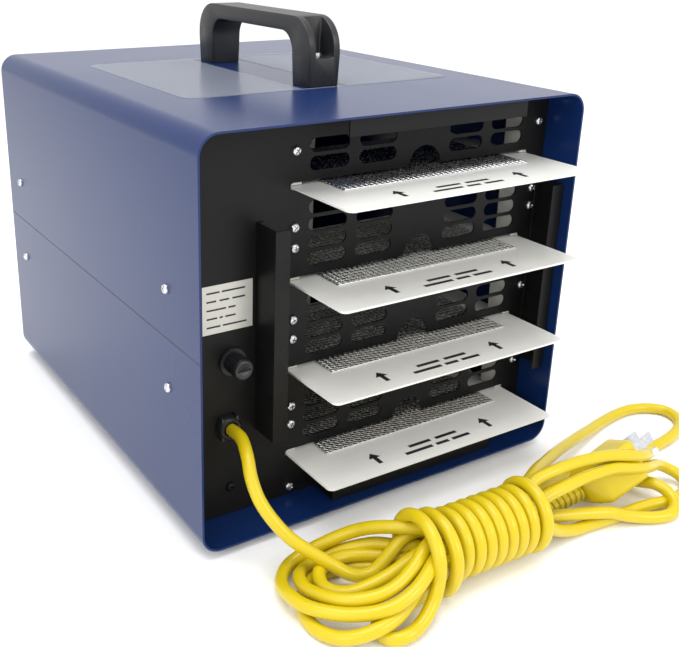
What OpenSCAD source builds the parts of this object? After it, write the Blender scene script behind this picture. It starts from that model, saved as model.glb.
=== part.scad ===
// Cabinet of an ozone air purifier with four slide-out electrode plates at the rear.
// +Z is up, +Y is the rear with the plates, and +X is the side of the mains cord.
// The origin is on the floor, midway between the four feet.

/* [Housing] */
// Width of the sheet metal housing
body_w = 265; // [250:1:340]
// Depth of the housing from front edge to rear edge
body_d = 322; // [300:1:400]
// Height of the housing without its feet
body_h = 238; // [225:1:300]
// Outside radius of the four long corners
corner_r = 12; // [8:1:20]
// Thickness of the sheet metal
sheet_t = 1.2; // [1:0.1:2]
// Height of the joint between the two shells above the underside
seam_h = 117.5; // [105:0.5:130]
// How far the rear panel sits inside the rear edge
rear_recess = 27.5; // [24:0.5:35]
// How far the front panel sits inside the front edge
front_recess = 17; // [15:0.5:25]
// Depth of the flange folded round each panel
flange_d = 16; // [14:0.5:20]
// Gap between a panel's flange and the shells
panel_fit = 0.2; // [0.1:0.05:0.5]

/* [Feet] */
// Height of the rubber feet
foot_h = 5; // [3:0.5:10]
// Radius of the rubber feet
foot_r = 9; // [7:0.5:12]
// Distance from the housing's sides to the centre of a foot
foot_inset = 32; // [25:1:45]
// Radius of the screw hole through a foot
foot_hole_r = 2.2; // [1.6:0.1:3]

/* [Handle] */
// Length of the handle
handle_len = 145; // [120:1:180]
// Width of the handle
handle_w = 22.4; // [18:0.2:30]
// Height of the handle above the housing
handle_h = 41.5; // [38:0.5:55]
// Height of the grip opening above the housing
grip_h = 31.8; // [28:0.2:36]
// Length of each leg along the handle
leg_len = 20; // [18:0.5:26]
// Outside corner radius of the handle
handle_r = 20; // [14:0.5:22]
// Radius of the upper corners of the grip opening
grip_r = 13; // [8:0.5:16]
// Width of the screw pocket in the end of a leg
pocket_w = 13; // [11:0.5:15]
// Height of the floor of the screw pocket above the housing
pocket_h = 17.3; // [12:0.1:22]

/* [Plates] */
// Width of an electrode plate
plate_w = 177; // [150:1:180]
// Length of an electrode plate
plate_len = 130; // [120:1:150]
// Thickness of an electrode plate
plate_t = 1.2; // [0.8:0.1:1.6]
// Gap between the plates and the side wall away from the cord
plate_wall_gap = 15.3; // [12:0.1:20]
// Height of the lowest plate's upper face above the underside
plate_base = 30.3; // [26:0.1:36]
// Height of the housing left above the highest plate
plate_headroom = 41.2; // [38:0.1:50]
// How far each plate stands out of the rear panel, from the highest to the lowest
plate_out = [54, 52, 48.5, 46.5]; // [40:0.5:60]
// How far a plate still stands out when it is pushed home
plate_home = 8; // [5:0.5:15]
// Distance from a plate's long edges to its electrode mesh
mesh_side = 20; // [15:0.5:25]
// Distance from a plate's outer edge to its electrode mesh
mesh_front = 33; // [28:0.5:40]
// Length of the electrode mesh
mesh_len = 84; // [70:1:86]
// Thickness of the electrode mesh
mesh_t = 0.9; // [0.5:0.1:1.2]

/* [Rear panel] */
// Height of a plate slot
slot_h = 4.4; // [4:0.1:6]
// Side clearance of a plate in its slot
slot_gap = 1; // [0.5:0.1:2]
// Radius of the finger notch above a slot
notch_r = 12.2; // [10:0.1:14]
// Length of a vent opening
vent_len = 26.5; // [22:0.5:28]
// Height of a vent opening
vent_h = 8; // [6:0.1:8.5]
// Distance between two rows of vents
vent_pitch = 10.2; // [9.5:0.1:10.5]
// Height of the lowest row of vents above its plate
vent_rise = 11.6; // [9:0.1:13]
// Places of the vent columns across a plate, from the plate's centre
vent_columns = [63.8, 30.5, -36, -69.5]; // [-80:0.5:80]
// Place of the finger notch from the plate's centre
notch_shift = -4.5; // [-10:0.5:10]
// Depth of the filter channels
bracket_d = 20.4; // [15:0.2:25]
// Width of the lips of the filter channels
bracket_lip = 9.5; // [7:0.5:12]

/* [Controls and supply] */
// Width of the compartment beside the plates, from divider to side wall
bay_w = 61.1; // [55:0.1:70]
// Height of the fuse above the underside
fuse_h = 101.4; // [95:0.1:110]
// Height of the cord outlet above the underside
outlet_h = 61; // [55:0.5:70]
// Diameter of the mains cord
cord_d = 7.4; // [6:0.1:8.5]
// Radius of the fuse cap
cap_r = 6.15; // [5:0.05:7]
// Length of the fuse cap outside its flange
cap_len = 12.7; // [8:0.1:16]
// Height of the power switch above the underside
switch_h = 90; // [80:1:100]
// Height of the timer above the underside
timer_h = 165; // [155:1:180]
// Radius of the timer knob
knob_r = 18; // [12:0.5:22]

/* [Fan] */
// Side of the square fan frame
fan_w = 120; // [110:1:140]
// Depth of the fan frame
fan_d = 38; // [25:1:40]
// Radius of the air passage
fan_r = 57; // [50:0.5:58]
// Distance between the fan's screws
fan_pitch = 105; // [95:0.5:125]
// Gap between blade tips and frame
tip_gap = 1.5; // [1:0.1:3]

/* [Hidden] */

// Levels and planes worked out from the sizes above
base_z = foot_h;
top_z = foot_h + body_h;
floor_z = base_z + sheet_t;
ceiling_z = top_z - sheet_t;
seam_z = base_z + seam_h;
wall_x = body_w / 2 - sheet_t;
rear_y = body_d / 2 - rear_recess;
front_y = -body_d / 2 + front_recess;
rear_back = rear_y - sheet_t;
front_back = front_y + sheet_t;

// Plates and the pieces that line up with them
plate_x = -wall_x + plate_wall_gap + plate_w / 2;
plate_pitch = (body_h - plate_base - plate_headroom) / 3;
function plate_z(i) = base_z + plate_base + (3 - i) * plate_pitch;
function plate_edge(i) = rear_y + plate_out[i];
tail_home = rear_y + plate_home - plate_len;
groove_gap = 0.5;
groove_lift = 0.15;
post_d = 14;
post_rear_y = tail_home + 14;
divider_x = wall_x - bay_w;
guide_left_w = divider_x - plate_x - plate_w / 2 + 7;
guide_right_w = plate_wall_gap + 5;
clip_gap = 0.4;
clip_w = 12;
contact_w = 26;
contact_d = 6;

// High-voltage transformer and its lead
hv_y = 0;
hv_z = base_z + 40;
hv_h = 48;

// Handle and filter channels
handle_screw_y = handle_len / 2 - leg_len / 2;
bracket_foot = 4.5;
bracket_out = plate_x + plate_w / 2 + 22.5;

// Screws
screw_r = 1.5;
screw_head_r = 2.9;
screw_head_h = 2.2;
screw_len = 9;
side_screw_len = 6;
ground_screw_len = 6;
hole_gap = 0.1;
screw_rise = [20, 32];
screw_drop = 23.5;
screw_left_x = plate_x + plate_w / 2 - 2.1;
screw_right_x = plate_x - plate_w / 2 - 7.5;
side_screw_z = [seam_z - 29.5, seam_z + 29.5];
side_screw_y = [-body_d / 2 + front_recess + 11.5, rear_y - 11.5];

// Pieces on the strip beside the plates
fuse_x = wall_x - 32.3;
fuse_z = base_z + fuse_h;
fuse_flange_r = 8.15;
fuse_flange_t = 2.5;
fuse_barrel_r = 6.2;
fuse_barrel_len = 38;
fuse_bore_r = 3.9;
fuse_r = 3.175;
cap_neck_r = 3.8;
cap_neck_len = 8;
cap_gap = 0.1;
outlet_x = wall_x - 29.3;
outlet_z = base_z + outlet_h;
bushing_r = 7.5;
bushing_out = 5;
bushing_neck_r = 6;
bushing_in = 9;
ground_x = wall_x - 31.4;
ground_z = base_z + 19.8;
label_t = 0.2;
label_w = 31.4;
label_h = 28.3;
label_x = wall_x - 30;
label_z = base_z + 134.2;

// Front controls
control_x = wall_x - 32;
switch_z = base_z + switch_h;
timer_z = base_z + timer_h;
knob_gap = 0.5;
knob_d = 13;
shaft_r = 3;
shaft_hole_r = 4;
rocker_w = 14;
rocker_h = 22;
rocker_gap = 0.5;
rocker_pivot_y = front_y + 7;

// Fan
fan_x = plate_x;
fan_z = base_z + body_h / 2;
fan_back = front_back + fan_d;
guard_t = 1.6;
hub_r = 25;
blade_d = 22;

// Mains cord: lead from the outlet to the hank, and the long loop beyond the hank
lead_route = [
    [102, 139, 66], [102, 150, 66], [105, 162, 62], [108, 172, 54], [107.5, 180, 44.5], [103.5, 188, 35],
    [97.5, 196, 26.5], [90, 204, 20.5], [81.5, 212, 14.5], [72, 219, 8.5], [62, 222.5, 8.5], [52, 223, 15.5],
    [44, 223.5, 23], [36, 225, 27]
];
loop_route = [
    [-50, 222, 29], [-70, 212, 25], [-90, 202, 20], [-110, 193, 16], [-130, 185, 12],
    [-150, 178, 9], [-168, 172, 6], [-186, 167, 4.5], [-204, 164, 4], [-220, 164, 4],
    [-233, 169, 4], [-241, 178, 4], [-239, 190, 4], [-229, 199, 4], [-216, 204, 4],
    [-200, 207, 4], [-182, 208, 4], [-164, 210, 4], [-146, 214, 4], [-128, 220, 4]
];
cord_sides = 12;
wrap_r = 24;
wrap_left = [50, 237, 24];
wrap_right = [-50, 240, 24];

// Plug, resting on the strands at the far end of the hank and tipped up at its blades
plug_at = [-91, 229, 13];
plug_yaw = 178;
plug_pitch = 19;
plug_roll = -28;
plug_len = 42;
plug_w = 24;
plug_h = 27;
plug_drop = 1.5;
relief_at = [-62, 228, 7.5];
relief_r = 5.5;
blade_len = 17.5;
blade_spread = 6.35;
blade_w = 6.3;
blade_t = 1.5;
blade_rise = 3.9;
pin_drop = 8;
pin_len = 20.5;
pin_r = 2.4;

// Soft shapes
function side_points(r, n) = [for (k = [0:n - 1]) [r * cos(360 * k / n), r * sin(360 * k / n)]];
function unit(v) = v / norm(v);
function route_dir(p, i) =
    unit(p[min(i + 1, len(p) - 1)] - p[max(i - 1, 0)]);
function side_of(d) = unit(cross(abs(d[2]) < 0.9 ? [0, 0, 1] : [1, 0, 0], d));
function ring(p, i, r, n) =
    let (d = i == 0 ? unit(p[1] - p[0]) : route_dir(p, i), s = side_of(d), u = cross(d, s))
    [for (q = side_points(r, n)) p[i] + q[0] * s + q[1] * u];

// Tube swept along a route, one ring of sides at every point
module tube(route, r, n) {
    last = len(route) - 1;
    polyhedron(
        points = [for (i = [0:last]) each ring(route, i, r, n)],
        faces = concat(
            [[for (k = [0:n - 1]) n - 1 - k]],
            [[for (k = [0:n - 1]) last * n + k]],
            [for (i = [0:last - 1], k = [0:n - 1])
                [i * n + k, i * n + (k + 1) % n, (i + 1) * n + (k + 1) % n]],
            [for (i = [0:last - 1], k = [0:n - 1])
                [i * n + k, (i + 1) * n + (k + 1) % n, (i + 1) * n + k]]
        )
    );
}

// Flat outlines, drawn as width by height and extruded along Y or X
module along_y(y0, y1) {
    translate([0, y1, 0]) rotate([90, 0, 0]) linear_extrude(y1 - y0) children();
}

module along_x(x0, x1) {
    translate([x0, 0, 0]) rotate([90, 0, 90]) linear_extrude(x1 - x0) children();
}

module rounded_rect(w, h, r) {
    translate([-w / 2 + r, 0]) square([w - 2 * r, h]);
    translate([-w / 2, r]) square([w, h - 2 * r]);
    for (x = [-w / 2 + r, w / 2 - r], y = [r, h - r]) {
        translate([x, y]) circle(r, $fn = 64);
    }
}

module stadium(w, h) {
    translate([-w / 2 + h / 2, -h / 2]) square([w - h, h]);
    for (x = [-w / 2 + h / 2, w / 2 - h / 2]) {
        translate([x, 0]) circle(h / 2, $fn = 32);
    }
}

// Outline of the housing, moved inwards by inset
module housing_outline(inset) {
    translate([0, base_z + inset]) rounded_rect(body_w - 2 * inset, body_h - 2 * inset, corner_r - inset);
}

module rod_y(x, z, y0, y1, r) {
    translate([x, y1, z]) rotate([90, 0, 0]) cylinder(h = y1 - y0, r = r, $fn = 48);
}

module rod_x(y, z, x0, x1, r) {
    translate([x0, y, z]) rotate([0, 90, 0]) cylinder(h = x1 - x0, r = r, $fn = 48);
}

module box(x0, x1, y0, y1, z0, z1) {
    translate([x0, y0, z0]) cube([x1 - x0, y1 - y0, z1 - z0]);
}

module at_feet() {
    for (x = [-1, 1], y = [-1, 1]) {
        translate([x * (body_w / 2 - foot_inset), y * (body_d / 2 - foot_inset), 0]) children();
    }
}

// Housing
module shell_wall() {
    along_y(-body_d / 2, body_d / 2) difference() {
        housing_outline(0);
        housing_outline(sheet_t);
    }
}

module side_screw_holes() {
    for (y = side_screw_y, z = side_screw_z) {
        rod_x(y, z, -body_w, body_w, screw_r + hole_gap);
    }
}

module lower_shell() color([0.08, 0.2, 0.45]) {
    lap_t = 1;
    lap_h = 9;
    difference() {
        union() {
            intersection() {
                shell_wall();
                box(-body_w, body_w, -body_d, body_d, 0, seam_z);
            }
            for (s = [-1, 1]) {
                box(s * wall_x - (s > 0 ? lap_t : 0), s * wall_x + (s > 0 ? 0 : lap_t),
                    front_y + flange_d + 2, rear_y - flange_d - 2, seam_z - lap_h, seam_z + lap_h);
            }
        }
        side_screw_holes();
        at_feet() translate([0, 0, base_z - 1]) cylinder(h = sheet_t + 2, r = foot_hole_r, $fn = 32);
    }
}

module upper_shell() color([0.08, 0.2, 0.45]) {
    difference() {
        intersection() {
            shell_wall();
            box(-body_w, body_w, -body_d, body_d, seam_z, top_z + 1);
        }
        side_screw_holes();
        for (s = [-1, 1]) {
            translate([0, s * handle_screw_y, ceiling_z - 1]) cylinder(h = sheet_t + 2, r = 2.6, $fn = 32);
        }
    }
}

module rubber_feet() color([0.08, 0.08, 0.08]) {
    at_feet() difference() {
        cylinder(h = foot_h, r = foot_r, $fn = 64);
        translate([0, 0, -1]) cylinder(h = foot_h + 2, r = foot_hole_r, $fn = 32);
    }
}

// Slots, finger notches and vents of the rear panel
module rear_openings() {
    for (i = [0:3]) {
        translate([plate_x, plate_z(i)]) stadium(plate_w + 2 * slot_gap, slot_h);
        translate([plate_x + notch_shift, plate_z(i)]) intersection() {
            translate([0, 1.6]) circle(notch_r, $fn = 64);
            translate([-notch_r, 0]) square([2 * notch_r, 2 * notch_r]);
        }
        for (k = [0:(i == 0 ? 1 : 3)], x = vent_columns) {
            translate([plate_x + x, plate_z(i) + vent_rise + k * vent_pitch]) stadium(vent_len, vent_h);
        }
    }
}

// Screws of the rear panel: two above each plate but the highest, one above that, one below all
function rear_screw_z() = concat(
    [for (i = [1:3], dz = screw_rise) plate_z(i) + dz],
    [plate_z(0) + screw_rise[0], plate_z(3) - screw_drop]
);

module at_rear_screws() {
    for (x = [screw_left_x, screw_right_x], z = rear_screw_z()) {
        translate([x, rear_y, z]) rotate([-90, 0, 0]) children();
    }
}

module panel_tray(y_face, y_back) {
    outer = sheet_t + panel_fit;
    y0 = min(y_face, y_back);
    y1 = max(y_face, y_back);
    along_y(y0, y1) difference() {
        housing_outline(outer);
        housing_outline(outer + sheet_t);
    }
}

module rear_panel() color([0.09, 0.09, 0.1]) {
    difference() {
        union() {
            along_y(rear_back, rear_y) difference() {
                housing_outline(sheet_t + panel_fit);
                rear_openings();
            }
            panel_tray(rear_y - flange_d, rear_y);
        }
        side_screw_holes();
        at_rear_screws() translate([0, 0, -sheet_t - 1])
            cylinder(h = sheet_t + 2, r = screw_r + hole_gap, $fn = 24);
        rod_y(fuse_x, fuse_z, rear_back - 1, rear_y + 1, fuse_barrel_r + hole_gap);
        rod_y(outlet_x, outlet_z, rear_back - 1, rear_y + 1, bushing_neck_r + hole_gap);
        rod_y(ground_x, ground_z, rear_back - 1, rear_y + 1, screw_r + hole_gap);
    }
}

module at_fan_screws() {
    for (x = [-1, 1], z = [-1, 1]) {
        translate([fan_x + x * fan_pitch / 2, front_y, fan_z + z * fan_pitch / 2])
            rotate([90, 0, 0]) children();
    }
}

module front_panel() color([0.09, 0.09, 0.1]) {
    difference() {
        union() {
            along_y(front_y, front_back) housing_outline(sheet_t + panel_fit);
            panel_tray(front_y, front_y + flange_d);
        }
        side_screw_holes();
        rod_y(fan_x, fan_z, front_y - 1, front_back + 1, fan_r);
        at_fan_screws() translate([0, 0, -sheet_t - 1])
            cylinder(h = sheet_t + 2, r = screw_r + hole_gap, $fn = 24);
        rod_y(control_x, timer_z, front_y - 1, front_back + 1, shaft_hole_r);
        box(control_x - rocker_w / 2 - 2, control_x + rocker_w / 2 + 2, front_y - 1, front_back + 1,
            switch_z - rocker_h / 2 - 2, switch_z + rocker_h / 2 + 2);
    }
}

// Handle: a bail along Y with a screw pocket in the end of each leg
module handle_outline() {
    difference() {
        union() {
            translate([-handle_len / 2, 0]) square([handle_len, handle_h - handle_r]);
            translate([-handle_len / 2 + handle_r, 0]) square([handle_len - 2 * handle_r, handle_h]);
            for (s = [-1, 1]) {
                translate([s * (handle_len / 2 - handle_r), handle_h - handle_r]) circle(handle_r, $fn = 96);
            }
        }
        translate([-handle_len / 2 + leg_len, -1]) square([handle_len - 2 * leg_len, grip_h - grip_r + 1]);
        translate([-handle_len / 2 + leg_len + grip_r, -1])
            square([handle_len - 2 * leg_len - 2 * grip_r, grip_h + 1]);
        for (s = [-1, 1]) {
            translate([s * (handle_len / 2 - leg_len - grip_r), grip_h - grip_r]) circle(grip_r, $fn = 96);
        }
    }
}

module handle() color([0.1, 0.1, 0.11]) {
    pocket_wall = 5;
    difference() {
        translate([0, 0, top_z]) along_x(-handle_w / 2, handle_w / 2) handle_outline();
        for (s = [-1, 1]) {
            end_y = s * handle_len / 2;
            wall_y = s * (handle_len / 2 - leg_len + pocket_wall);
            box(-pocket_w / 2, pocket_w / 2, min(wall_y, end_y * 1.1), max(wall_y, end_y * 1.1),
                top_z + pocket_h, top_z + handle_h + 1);
            translate([0, s * handle_screw_y, top_z - 1]) cylinder(h = pocket_h + 2, r = 2.1, $fn = 32);
        }
    }
}

module handle_screws() color([0.6, 0.6, 0.62]) {
    for (s = [-1, 1]) {
        translate([0, s * handle_screw_y, 0]) {
            translate([0, 0, top_z + pocket_h]) cylinder(h = 2.6, r = 3.6, $fn = 32);
            translate([0, 0, ceiling_z - 4]) cylinder(h = pocket_h + sheet_t + 4.5, r = 2, $fn = 32);
            translate([0, 0, ceiling_z - 3.2]) cylinder(h = 3.2, r = 4, $fn = 6);
        }
    }
}

module top_label() color([0.72, 0.76, 0.83, 0.6]) {
    film_x = [-100, 95];
    film_y = [-80.5, 74.5];
    film_r = 8;
    slit_x = 16.5;
    slit_y = handle_len / 2 + 1;
    translate([0, 0, top_z]) linear_extrude(label_t) difference() {
        translate([(film_x[0] + film_x[1]) / 2, film_y[0]])
            rounded_rect(film_x[1] - film_x[0], film_y[1] - film_y[0], film_r);
        translate([-slit_x, -slit_y]) square([2 * slit_x, 2 * slit_y]);
    }
}

// Inside: divider, plate guides and electrical contacts
module divider() color([0.75, 0.76, 0.78]) {
    difference() {
        box(divider_x, divider_x + sheet_t, front_y + flange_d + 2, rear_back, floor_z, ceiling_z);
        along_y(rear_y - flange_d - 1, rear_y) difference() {
            housing_outline(0);
            housing_outline(2 * sheet_t + 2 * panel_fit);
        }
        rod_x(hv_y, hv_z, divider_x - 1, divider_x + sheet_t + 1, 5);
    }
}

module post_grooves() {
    for (i = [0:3]) {
        box(plate_x - plate_w / 2 - groove_gap, plate_x + plate_w / 2 + groove_gap,
            -body_d, body_d, plate_z(i) - plate_t - groove_lift, plate_z(i) + groove_gap);
    }
}

module guide(x0, x1) {
    difference() {
        intersection() {
            union() {
                box(x0, x1, rear_back - post_d, rear_back, base_z, top_z);
                box(x0, x1, post_rear_y, post_rear_y + post_d, base_z, top_z);
            }
            along_y(-body_d / 2, body_d / 2) housing_outline(2 * sheet_t + 2 * panel_fit);
        }
        post_grooves();
        at_rear_screws() translate([0, 0, -screw_len - 1])
            cylinder(h = screw_len + 1, r = screw_r + hole_gap, $fn = 24);
        for (y = side_screw_y, z = side_screw_z) {
            rod_x(y, z, -body_w / 2, -body_w / 2 + side_screw_len + 1, screw_r + hole_gap);
        }
    }
}

module guide_left() color([0.9, 0.9, 0.88]) {
    guide(divider_x - guide_left_w, divider_x);
}

module guide_right() color([0.9, 0.9, 0.88]) {
    guide(-wall_x, -wall_x + guide_right_w);
}

module contact_bar() color([0.85, 0.83, 0.75]) {
    y1 = tail_home - clip_gap - clip_w / 2;
    difference() {
        box(plate_x - contact_w / 2, plate_x + contact_w / 2, y1 - contact_d, y1, floor_z, ceiling_z);
        for (i = [0:3]) {
            box(plate_x - 4, plate_x + 4, y1 - contact_d - 1, y1 + 1, plate_z(i) - 4, plate_z(i) + 3);
        }
    }
}

module contact_clips() color([0.8, 0.65, 0.3]) {
    y1 = tail_home - clip_gap;
    for (i = [0:3]) {
        box(plate_x - 4, plate_x + 4, y1 - clip_w, y1, plate_z(i) - 3.5, plate_z(i) - 2.5);
        box(plate_x - 4, plate_x + 4, y1 - clip_w, y1 - clip_w + 1, plate_z(i) - 3.5, plate_z(i) + 2);
    }
}

module hv_transformer() color([0.15, 0.15, 0.16]) {
    x0 = divider_x + sheet_t + 8;
    box(x0, x0 + 38, -35, 35, floor_z, floor_z + hv_h);
    rod_x(hv_y, hv_z, x0 - 4, x0, 4);
}

module driver_board() color([0.1, 0.4, 0.2]) {
    x0 = divider_x + sheet_t;
    z0 = base_z + 110;
    for (y = [-40, 40], z = [z0 + 8, z0 + 72]) {
        rod_x(y, z, x0, x0 + 6, 3);
    }
    box(x0 + 6, x0 + 7.6, -48, 48, z0, z0 + 80);
    box(x0 + 7.6, x0 + 27, -30, -2, z0 + 10, z0 + 40);
    box(x0 + 7.6, x0 + 21, 8, 34, z0 + 20, z0 + 62);
}

module hv_lead() color([0.75, 0.08, 0.06]) {
    x0 = divider_x + sheet_t + 4;
    x1 = plate_x + contact_w / 2;
    y1 = tail_home - clip_gap - clip_w / 2 - contact_d / 2;
    z1 = plate_z(3) - 8;
    tube([[x0, hv_y, hv_z], [x0 - 14, hv_y, hv_z], [x0 - 24, hv_y, hv_z - 2], [x1 + 22, y1 / 2, z1 + 5],
        [x1 + 10, y1, z1], [x1, y1, z1]], 1.8, 8);
}

module terminal_block() color([0.9, 0.88, 0.8]) {
    x0 = divider_x + sheet_t + 10;
    difference() {
        box(x0, x0 + 22, 62, 104, floor_z, floor_z + 18);
        for (y = [68, 78, 88, 98]) {
            translate([x0 + 11, y, floor_z + 8]) cylinder(h = 12, r = 2.5, $fn = 24);
        }
    }
}

// Fuse holder with its bayonet cap, and the glass fuse
module fuse_holder() color([0.06, 0.06, 0.07]) {
    difference() {
        union() {
            rod_y(fuse_x, fuse_z, rear_y, rear_y + fuse_flange_t, fuse_flange_r);
            rod_y(fuse_x, fuse_z, rear_y - fuse_barrel_len, rear_y, fuse_barrel_r);
            rod_y(fuse_x, fuse_z, rear_back - 4, rear_back, fuse_flange_r);
        }
        rod_y(fuse_x, fuse_z, rear_y - fuse_barrel_len + 3, rear_y + fuse_flange_t + 1, fuse_bore_r);
    }
}

module fuse() color([0.8, 0.8, 0.82, 0.6]) {
    y1 = rear_y + fuse_flange_t + cap_gap - cap_neck_len - cap_gap;
    rod_y(fuse_x, fuse_z, rear_y - fuse_barrel_len + 3, y1, fuse_r);
}

module fuse_cap() color([0.12, 0.12, 0.13]) {
    y0 = rear_y + fuse_flange_t + cap_gap;
    ribs = 24;
    difference() {
        union() {
            rod_y(fuse_x, fuse_z, y0, y0 + cap_len, cap_r);
            rod_y(fuse_x, fuse_z, y0 - cap_neck_len, y0, cap_neck_r);
        }
        for (k = [0:ribs - 1]) {
            a = k * 360 / ribs;
            rod_y(fuse_x + (cap_r + 0.3) * cos(a), fuse_z + (cap_r + 0.3) * sin(a),
                y0 - 1, y0 + cap_len - 3, 0.6);
        }
    }
}

// Cord, hank and plug
module cord_bushing() color([0.05, 0.05, 0.05]) {
    rod_y(outlet_x, outlet_z, rear_y, rear_y + bushing_out + 0.5, bushing_r);
    rod_y(outlet_x, outlet_z, rear_y - bushing_in, rear_y, bushing_neck_r);
    rod_y(outlet_x, outlet_z, rear_back - 2, rear_back, bushing_neck_r + 1.2);
}

module cord() color([0.96, 0.86, 0.1]) {
    tube(lead_route, cord_d / 2, cord_sides);
    tube(loop_route, cord_d / 2, cord_sides);
}

module cord_hank() color([0.96, 0.86, 0.1]) {
    axis = wrap_right - wrap_left;
    turn = atan2(axis[1], axis[0]);
    loops_h = 20;
    strands_h = 29;
    last_loop_h = 2 * cord_d;
    difference() {
        union() {
            translate(wrap_left) rotate([0, 90, turn]) cylinder(h = norm(axis), r = wrap_r, $fn = 64);
            linear_extrude(loops_h) {
                translate([84, 212]) circle(24, $fn = 48);
                translate([84, 236]) circle(24, $fn = 48);
                translate([60, 212]) square([48, 24]);
                translate([40, 212]) square([24, 46]);
            }
            linear_extrude(strands_h) {
                translate([-147, 217]) square([107, 38]);
                translate([-147, 236]) circle(19, $fn = 48);
            }
            linear_extrude(last_loop_h) {
                translate([-118, 241]) square([78, 30]);
                translate([-118, 256]) circle(15, $fn = 48);
            }
        }
        plug_body();
        plug_blades();
    }
}

module at_plug() {
    translate(plug_at) rotate([0, 0, plug_yaw]) rotate([0, -plug_pitch, 0]) rotate([plug_roll, 0, 0])
        children();
}

module plug_body() color([0.96, 0.86, 0.1]) {
    to_relief = relief_at - plug_at;
    at_plug() box(0, plug_len, -plug_w / 2, plug_w / 2, -plug_h / 2 - plug_drop, plug_h / 2 - plug_drop);
    translate(plug_at) rotate([0, acos(to_relief[2] / norm(to_relief)), atan2(to_relief[1], to_relief[0])])
        cylinder(h = norm(to_relief), r = relief_r, $fn = 32);
}

module plug_blades() color([0.8, 0.7, 0.4]) {
    at_plug() {
        for (s = [-1, 1]) {
            box(plug_len, plug_len + blade_len,
                s * blade_spread - blade_t / 2, s * blade_spread + blade_t / 2,
                blade_rise - blade_w / 2, blade_rise + blade_w / 2);
        }
        translate([plug_len, 0, -pin_drop]) rotate([0, 90, 0]) cylinder(h = pin_len, r = pin_r, $fn = 32);
    }
}

// Channels round the plates that hold a loose filter
module channel(along, depth, lip, foot) {
    linear_extrude(along) {
        square([sheet_t, depth]);
        square([foot, sheet_t]);
        translate([0, depth - sheet_t]) square([lip, sheet_t]);
    }
}

module bracket_left() color([0.1, 0.1, 0.11]) {
    translate([bracket_out, rear_y, base_z + 54]) mirror([1, 0, 0])
        channel(plate_z(0) - base_z - 70.8, bracket_d, bracket_lip, bracket_foot);
}

module bracket_right() color([0.1, 0.1, 0.11]) {
    translate([-wall_x + panel_fit, rear_y, base_z + 51])
        channel(plate_z(0) - base_z - 68.8, bracket_d, bracket_lip, bracket_foot);
}

module bracket_top() color([0.1, 0.1, 0.11]) {
    translate([plate_x - 64, rear_y, ceiling_z - panel_fit]) rotate([0, 90, 0])
        channel(130, bracket_d, 11, bracket_foot);
}

module bracket_bottom() color([0.1, 0.1, 0.11]) {
    translate([plate_x + 67.5, rear_y, floor_z + panel_fit]) rotate([0, -90, 0])
        channel(128, bracket_d, 7.2, bracket_foot);
}

// Fasteners and labels
module pan_screw(len) {
    cylinder(h = screw_head_h, r = screw_head_r, $fn = 32);
    translate([0, 0, -len]) cylinder(h = len, r = screw_r, $fn = 24);
}

module rear_screws() color([0.75, 0.76, 0.78]) {
    at_rear_screws() pan_screw(screw_len);
}

module ground_screw() color([0.15, 0.15, 0.16]) {
    translate([ground_x, rear_y, ground_z]) rotate([-90, 0, 0]) pan_screw(ground_screw_len);
}

module side_screws() color([0.75, 0.76, 0.78]) {
    for (s = [-1, 1], y = side_screw_y, z = side_screw_z) {
        translate([s * body_w / 2, y, z]) rotate([0, s * 90, 0]) pan_screw(side_screw_len);
    }
}

module front_screws() color([0.75, 0.76, 0.78]) {
    at_fan_screws() translate([0, 0, guard_t]) pan_screw(screw_len + guard_t);
}

module rating_label() color([0.85, 0.86, 0.86]) {
    box(label_x - label_w / 2, label_x + label_w / 2, rear_y, rear_y + label_t,
        label_z - label_h / 2, label_z + label_h / 2);
}

// Fan: guard outside the front panel, frame and rotor inside it
module fan_guard() color([0.7, 0.71, 0.73]) {
    ring_gap = 10;
    wire = 1.6;
    rings = floor((fan_r - 1) / ring_gap);
    along_y(front_y - guard_t, front_y) translate([fan_x, fan_z]) {
        for (k = [1:rings]) {
            difference() {
                circle(k * ring_gap + wire / 2, $fn = 64);
                circle(k * ring_gap - wire / 2, $fn = 64);
            }
        }
        difference() {
            union() {
                for (a = [45:90:315]) {
                    rotate(a) translate([ring_gap, -wire]) square([fan_pitch / sqrt(2) - ring_gap, 2 * wire]);
                }
                for (x = [-1, 1], z = [-1, 1]) {
                    translate([x * fan_pitch / 2, z * fan_pitch / 2]) circle(4.5, $fn = 32);
                }
            }
            for (x = [-1, 1], z = [-1, 1]) {
                translate([x * fan_pitch / 2, z * fan_pitch / 2]) circle(screw_r + hole_gap, $fn = 24);
            }
        }
    }
}

module fan_frame() color([0.12, 0.12, 0.13]) {
    strut = 5;
    spider_d = 5;
    difference() {
        along_y(front_back, fan_back) translate([fan_x, fan_z - fan_w / 2]) difference() {
            rounded_rect(fan_w, fan_w, 6);
            translate([0, fan_w / 2]) circle(fan_r, $fn = 96);
        }
        at_fan_screws() translate([0, 0, -fan_d - sheet_t - 1])
            cylinder(h = fan_d + 2, r = screw_r + hole_gap, $fn = 24);
    }
    along_y(fan_back - spider_d, fan_back) translate([fan_x, fan_z]) {
        circle(hub_r, $fn = 64);
        for (a = [30:120:270]) {
            rotate(a) translate([0, -strut / 2]) square([fan_r + 1, strut]);
        }
    }
}

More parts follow.
